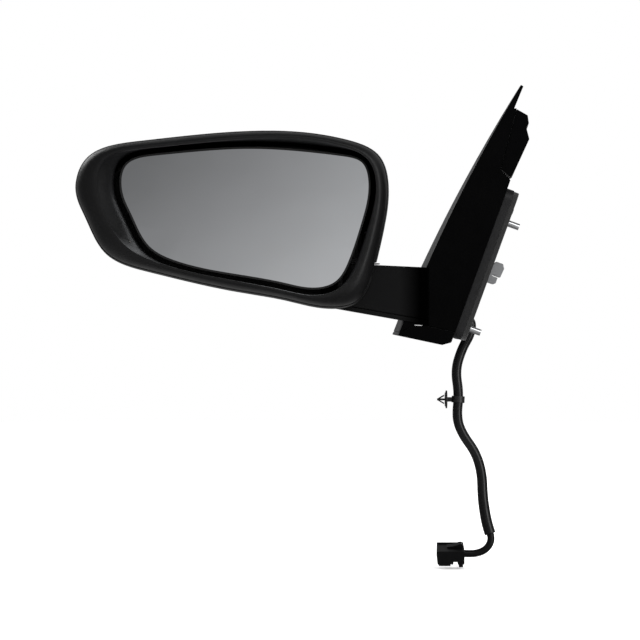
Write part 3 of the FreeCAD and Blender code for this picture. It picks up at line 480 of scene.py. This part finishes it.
def eased(node, width, slot):
    """A copy of the node whose sharp edges are rounded over, and which stands for it."""
    mesh = NODES[node].data.copy()
    bm = bmesh.new()
    bm.from_mesh(mesh)
    bmesh.ops.remove_doubles(bm, verts=bm.verts, dist=SAME_POINT)
    bmesh.ops.dissolve_limit(bm, angle_limit=FLAT_ANGLE, verts=bm.verts, edges=bm.edges)
    bm.to_mesh(mesh)
    bm.free()
    for layer in ("custom_normal", "sharp_edge", "sharp_face"):
        if layer in mesh.attributes:
            mesh.attributes.remove(mesh.attributes[layer])
    mesh.shade_smooth()
    piece = bpy.data.objects.new(node + "_eased", mesh)
    LINK(piece)
    bevel = piece.modifiers.new("rounded_edges", "BEVEL")
    bevel.width = width / 1000
    bevel.segments = 3
    bevel.limit_method = "ANGLE"
    bevel.angle_limit = SHARP_ANGLE
    bevel.harden_normals = False
    bevel.miter_outer = "MITER_ARC"
    normals = piece.modifiers.new("face_normals", "WEIGHTED_NORMAL")
    normals.keep_sharp = True
    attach(piece, BODY_OF[node])
    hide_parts(node)
    dress(piece, FINISHES[node])
    # The flat ends of these nodes take the painted shade.
    if node in SHADED_SIDES:
        piece.data.materials.append(painted_shade_black.material)
        for face in mesh.polygons:
            if abs(face.normal.y) > SHADED_FACING:
                face.material_index = 1


for node, finish in FINISHES.items():
    if node in EDGES:
        eased(node, *EDGES[node])
    else:
        dress(NODES[node], finish)

dress(lead, lead_jacket)
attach(lead, "base")
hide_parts("harness_lead")
dress(sleeve, sleeve_tube)
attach(sleeve, "base")
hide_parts("harness_sleeve")

# ------------------------------------------------------------------ floor, lights and surroundings

FLOOR_PLACE = (-0.13, 0.6, -0.2245)
FLOOR_RADIUS = 2.3
FLOOR_GLOW = 0.22

bpy.ops.mesh.primitive_circle_add(vertices=96, radius=FLOOR_RADIUS, fill_type="NGON", location=FLOOR_PLACE)
floor = bpy.context.object
floor.name = "floor"
floor_finish = Finish("floor_white", (0.92, 0.92, 0.92), 0.9, Specular_IOR_Level=0.0,
                      Emission_Color=(1, 1, 1, 1), Emission_Strength=FLOOR_GLOW)
floor_finish.mottle(floor_finish.noise(0.5), 0.005)
floor_finish.bump(floor_finish.noise(0.01), 0.0001)
dress(floor, floor_finish)
floor.visible_glossy = False


def softbox(name, place, aim, wide, high, power, in_gloss=False, in_diffuse=True):
    """A rectangular light that can be kept out of reflections, or give nothing but them."""
    data = bpy.data.lights.new(name, "AREA")
    data.shape = "RECTANGLE"
    data.size = wide
    data.size_y = high
    data.energy = power
    light = bpy.data.objects.new(name, data)
    light.location = place
    light.visible_glossy = in_gloss
    light.visible_diffuse = in_diffuse
    light.rotation_euler = (Vector(aim) - Vector(place)).to_track_quat("-Z", "Y").to_euler()
    LINK(light)
    return light


CENTRE = (-0.15, 0, 0)
softbox("overhead", (-0.15, 0.3, 1.7), CENTRE, 1.6, 1.2, 26)
softbox("left_strip", (-1.6, -0.9, 0.7), CENTRE, 0.5, 1.4, 4)
softbox("right_strip", (1.3, -1.3, 0.9), CENTRE, 0.5, 1.2, 4)
softbox("front_key", (0.48, -1.35, 1.0), CENTRE, 1.1, 0.8, 7, in_gloss=True)
sleeve_strip = softbox("sleeve_strip", (1.15, -1.1, 0.0), (0, 0, -0.1), 0.7, 1.5, 11, in_gloss=True,
                       in_diffuse=False)
softbox("rear_key", (-1.3, 1.4, 1.0), CENTRE, 1.0, 0.8, 8, in_gloss=True)

# The strip is kept off the glass, which would show it as a white patch when the head is folded.
unlit = bpy.data.collections.new("glass_without_strip")
unlit.objects.link(bpy.data.objects["mirror_glass_eased"])
sleeve_strip.light_linking.receiver_collection = unlit
unlit.collection_objects[0].light_linking.link_state = "EXCLUDE"

world = bpy.data.worlds.new("studio")
bpy.context.scene.world = world
world.use_nodes = True
tree = world.node_tree
tree.nodes.clear()


def world_node(kind):
    return tree.nodes.new(kind)


def ranged(value, low, high):
    """0 to 1 as value moves from low to high."""
    node = world_node("ShaderNodeMapRange")
    node.inputs["From Min"].default_value = low
    node.inputs["From Max"].default_value = high
    tree.links.new(value, node.inputs["Value"])
    return node.outputs["Result"]


def mixed(factor, sockets, greys):
    """A colour mix whose sides, A and B, each take a socket or a grey."""
    node = world_node("ShaderNodeMix")
    node.data_type = "RGBA"
    tree.links.new(factor, node.inputs["Factor"])
    for side, socket in sockets.items():
        tree.links.new(socket, node.inputs[side])
    for side, grey in greys.items():
        node.inputs[side].default_value = (grey, grey, grey, 1)
    return node.outputs["Result"]


# The studio that gloss sees. In front it is darkest up and to the left of the viewer and paler down and to
# the right, with a grey for each place along that slope. Behind it is one mid grey.
SLOPE = (0.63, 0.0, -0.77)
SLOPE_GREYS = [(-0.6, 0.11), (-0.196, 0.164), (-0.1, 0.245), (0.0, 0.351), (0.102, 0.48), (0.2, 0.48),
               (0.5, 0.16)]
BEHIND_GREY = 0.3
BEHIND_STARTS = 0.3
BEHIND_ENDS = 0.9
DIFFUSE_GREY = 0.95
SEEN_GREY = 1.0


def stop_place(at):
    """Place on the ramp, which runs from 0 to 1, of a place on the slope, which runs from -1 to 1."""
    return (at + 1) / 2


direction = world_node("ShaderNodeTexCoord").outputs["Generated"]
slope = world_node("ShaderNodeVectorMath")
slope.operation = "DOT_PRODUCT"
slope.inputs[1].default_value = SLOPE
tree.links.new(direction, slope.inputs[0])
room = world_node("ShaderNodeValToRGB")
tree.links.new(ranged(slope.outputs["Value"], -1.0, 1.0), room.inputs["Fac"])
stops = room.color_ramp.elements
first, last = stops[0], stops[1]
first.position = stop_place(SLOPE_GREYS[0][0])
first.color = (*[SLOPE_GREYS[0][1]] * 3, 1)
last.position = stop_place(SLOPE_GREYS[-1][0])
last.color = (*[SLOPE_GREYS[-1][1]] * 3, 1)
for at, grey in SLOPE_GREYS[1:-1]:
    stops.new(stop_place(at)).color = (grey, grey, grey, 1)

split = world_node("ShaderNodeSeparateXYZ")
tree.links.new(direction, split.inputs["Vector"])
behind = ranged(split.outputs["Y"], BEHIND_STARTS, BEHIND_ENDS)
gloss = mixed(behind, {"A": room.outputs["Color"]}, {"B": BEHIND_GREY})
path = world_node("ShaderNodeLightPath")
unseen = mixed(path.outputs["Is Glossy Ray"], {"B": gloss}, {"A": DIFFUSE_GREY})
colour = mixed(path.outputs["Is Camera Ray"], {"A": unseen}, {"B": SEEN_GREY})
background = world_node("ShaderNodeBackground")
tree.links.new(colour, background.inputs["Color"])
output = world_node("ShaderNodeOutputWorld")
tree.links.new(background.outputs["Background"], output.inputs["Surface"])

bpy.context.scene.view_settings.view_transform = "Standard"
